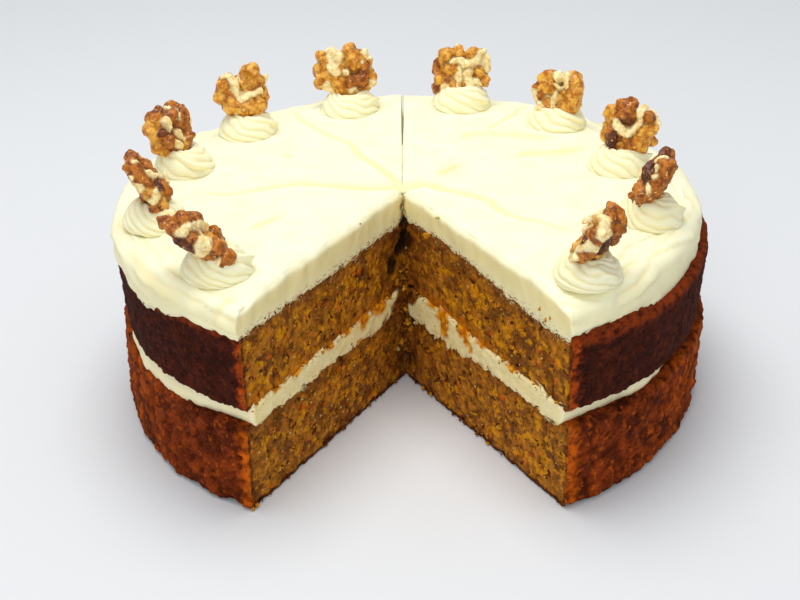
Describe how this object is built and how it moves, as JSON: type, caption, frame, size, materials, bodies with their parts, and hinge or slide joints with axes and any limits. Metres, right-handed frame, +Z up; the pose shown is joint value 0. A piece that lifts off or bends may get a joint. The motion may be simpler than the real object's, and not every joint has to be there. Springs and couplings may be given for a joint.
{
  "type": "carrot cake",
  "caption": "Round layered carrot cake with cream filling and frosting, piped swirls each holding a walnut half, and a wedge cut out.",
  "frame": {"origin": "middle of the round cake on its flat underside, at rest height", "axes": "+Z up; the missing wedge opens towards -Y; +X to the right when looking into the wedge"},
  "size_m": [0.2348, 0.2213, 0.1124],
  "materials": {
    "carrot_sponge": "moist open crumb, orange brown",
    "browned_sponge": "moist crumb with a dark browned crust",
    "cream_frosting": "smooth ivory cream",
    "walnut_half": "wrinkled brown skin with pale ridges"
  },
  "bodies": {
    "root": {"sponge_lower": "carrot_sponge", "filling": "cream_frosting", "sponge_upper": "browned_sponge", "frosting": "cream_frosting", "swirl_01": "cream_frosting", "swirl_02": "cream_frosting", "swirl_03": "cream_frosting", "swirl_04": "cream_frosting", "swirl_05": "cream_frosting", "swirl_06": "cream_frosting", "swirl_07": "cream_frosting", "swirl_08": "cream_frosting", "swirl_09": "cream_frosting", "swirl_10": "cream_frosting", "walnut_01": "walnut_half", "walnut_02": "walnut_half", "walnut_03": "walnut_half", "walnut_04": "walnut_half", "walnut_05": "walnut_half", "walnut_06": "walnut_half", "walnut_07": "walnut_half", "walnut_08": "walnut_half", "walnut_09": "walnut_half", "walnut_10": "walnut_half"}
  },
  "joints": []
}
